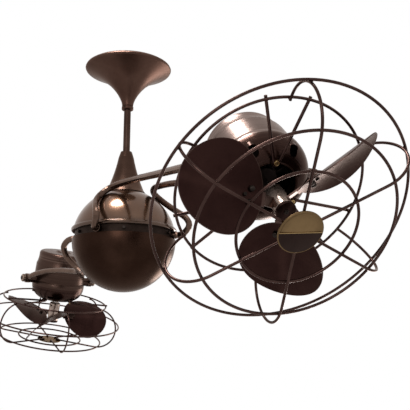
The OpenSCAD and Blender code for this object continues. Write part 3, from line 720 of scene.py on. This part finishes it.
# ---- Blades and brackets -------------------------------------------------------------------
# Each paddle is pressed from sheet steel to a shallow curve and lacquered dark. A T-shaped
# bracket holds it from behind, with one screw and two domed nuts through its front.
BLADES = 3
BLADE_Z = 0.105
PITCH = 40
CAMBER = 0.170
PADDLE_AT = 0.1005
PADDLE_R = 0.0675
FRONT_FACE = 0.0017
LAP_END = 0.067
BLADE_SCREW_AT = LAP_END - 0.004
NUT_AT = LAP_END - 0.013
NUT_ASIDE = 0.010
NUT_PROFILE = [(0, -0.0006), (0.0045, -0.0006), (0.0045, 0.0014), (0.0041, 0.0024),
               (0.0030, 0.0034), (0.0016, 0.0040), (0, 0.0042)]
PHASES = {"front": 49, "rear": 62}
RADIAL_STRETCH = 0.05
GRAIN_SCALE = 1100.0
HIGHLIGHT_WIDTH = 0.012
RUBBED_EDGE = 0.0014
BLADE_DEEP = (0.0150, 0.0060, 0.0054)
BLADE_WARM = (0.040, 0.0185, 0.0155)
BLADE_RUBBED = (0.14, 0.090, 0.075)


def paddle_paint(name, seat, phase):
    """The lacquer of the blades: a painted highlight along each paddle's middle, fine radial
    lines, and a rim that is rubbed lighter."""
    paint = Finish(name, metal=0.95, level=0.1, seat=seat @ spin_by(phase), cloud=12.0)
    angle = paint.y.math("ARCTAN2", paint.y, paint.x)
    share = math.tau / BLADES
    local = angle.math("FLOORED_MODULO", angle + share / 2, share) - share / 2
    lean = math.radians(PITCH)
    along = paint.r * local.math("COSINE", local)
    across = (paint.r * local.math("SINE", local) * math.cos(lean)
              + (paint.z - BLADE_Z) * math.sin(lean))
    rim = ((along - PADDLE_AT) ** 2 + across * across) ** 0.5
    at = Flow.node(paint.tree, "ShaderNodeCombineXYZ", X=along * RADIAL_STRETCH, Y=across)
    grain = paint.noise(GRAIN_SCALE, detail=3.0, rough=0.7, at=at)
    # A painted highlight runs along each paddle's middle.
    middle = across + paint.clouds * 0.004 - 0.002
    painted_highlight = (1.0 - abs(middle).step(0.0, HIGHLIGHT_WIDTH)) * 0.35
    tone = (paint.clouds.step(0.3, 0.7) * 0.5 + grain * 0.3 + painted_highlight).clamp()
    rub_or_shade_mask = rim.step(PADDLE_R - RUBBED_EDGE, PADDLE_R) * 0.4
    colour = rub_or_shade_mask.mix(tone.mix(BLADE_DEEP, BLADE_WARM), BLADE_RUBBED)
    gloss = grain * 0.12 + paint.clouds * 0.12 + 0.22
    return paint.close(colour, gloss, relief=grain * 0.3 + paint.specks * 0.12)


def on_blade(seat, phase, x, y):
    """A seat on the front of each blade, square to its curve."""
    lean = math.asin(y / CAMBER)
    return [seat @ shift(z=BLADE_Z) @ turning @ spin_by(PITCH, "X")
            @ shift(x, y, CAMBER * (1 - math.cos(lean)) + FRONT_FACE)
            @ Matrix.Rotation(lean, 4, "X") for turning in all_round(BLADES, phase)]


for side, seat in heads.items():
    phase = PHASES[side]
    forged = lacquer(side + " bracket bronze", deep=(0.026, 0.0150, 0.0120),
                     warm=(0.070, 0.044, 0.036), rub=(0.30, 0.22, 0.18), metal=0.95,
                     rough=0.22, level=0.1, seat=seat, cloud=40.0)
    dress(forged, side + "_blade_brackets")
    dress(paddle_paint(side + " blade bronze", seat, phase), side + "_blades")
    dress(black_oxide, side + "_blade_screws")
    place_at(on_blade(seat, phase, BLADE_SCREW_AT, 0.0),
             screw_head(radius=0.0029, height=0.0012, slot=0.0004),
             side + "_blade_screw_heads", black_oxide, side + "_rotor")
    place_at([m for y in (NUT_ASIDE, -NUT_ASIDE) for m in on_blade(seat, phase, NUT_AT, y)],
             turn(NUT_PROFILE), side + "_blade_nuts", black_oxide,
             side + "_rotor")

# ---- Studio --------------------------------------------------------------------------------
# A pale floor well below, a white surround, a round lamp above and a little in front of the
# fan, and two broad ones: one on the camera's side, and one low on the far side.
FLOOR_Z = -2.4
FLOOR_R = 9.0
FLOOR_GLOW = 0.7
SURROUND_LIGHT = 0.45
PALE = (0.92, 0.92, 0.92, 1.0)
WHITE = (1.0, 1.0, 1.0, 1.0)
round_floor = bmesh.new()
bmesh.ops.create_circle(round_floor, cap_ends=True, segments=96, radius=FLOOR_R,
                        matrix=shift(z=FLOOR_Z))
floor_mesh = bpy.data.meshes.new("floor")
round_floor.to_mesh(floor_mesh)
round_floor.free()
floor = bpy.data.objects.new("floor", floor_mesh)
bpy.context.scene.collection.objects.link(floor)


def background_seen(tree):
    """1 for camera, glossy and transmission rays, 0 for the rays that light things."""
    camera_ray, glossy_ray, through_ray = Flow.node(tree, "ShaderNodeLightPath", out=(0, 3, 6))
    return (camera_ray + glossy_ray + through_ray).clamp()


def end_tree(tree, kind, shader):
    final = tree.nodes.new(kind)
    tree.links.new(shader.socket, final.inputs["Surface"])


floor_look = bpy.data.materials.new("studio floor")
floor_look.use_nodes = True
paper = floor_look.node_tree
paper.nodes.clear()
matt = Flow.node(paper, "ShaderNodeBsdfDiffuse", Color=PALE)
glow = Flow.node(paper, "ShaderNodeEmission", Color=WHITE, Strength=1.0)
both = Flow.node(paper, "ShaderNodeMixShader", i0=background_seen(paper) * FLOOR_GLOW,
                 i1=matt, i2=glow)
end_tree(paper, "ShaderNodeOutputMaterial", both)
floor_mesh.materials.append(floor_look)

studio = bpy.data.worlds.new("studio")
bpy.context.scene.world = studio
studio.use_nodes = True
sky = studio.node_tree
sky.nodes.clear()
strength = background_seen(sky) * (1.0 - SURROUND_LIGHT) + SURROUND_LIGHT
surround = Flow.node(sky, "ShaderNodeBackground", Color=WHITE, Strength=strength)
end_tree(sky, "ShaderNodeOutputWorld", surround)


def lamp(name, place, aim, size, watts):
    light = bpy.data.lights.new(name, "AREA")
    light.shape = "DISK"
    light.size = size
    light.energy = watts
    holder = bpy.data.objects.new(name, light)
    holder.location = place
    holder.rotation_euler = (Vector(aim) - Vector(place)).to_track_quat("-Z", "Y").to_euler()
    bpy.context.scene.collection.objects.link(holder)


lamp("overhead lamp", place=(0.14, -0.35, 1.0), aim=(0.2, -0.1, -0.4), size=0.54, watts=24.0)
lamp("camera side lamp", place=(2.3, -1.7, 0.1), aim=(0.3, 0.0, -0.45), size=1.2, watts=14.0)
lamp("far side lamp", place=(-1.2, 1.95, -1.1), aim=(0.1, 0.0, -0.45), size=1.2, watts=24.0)
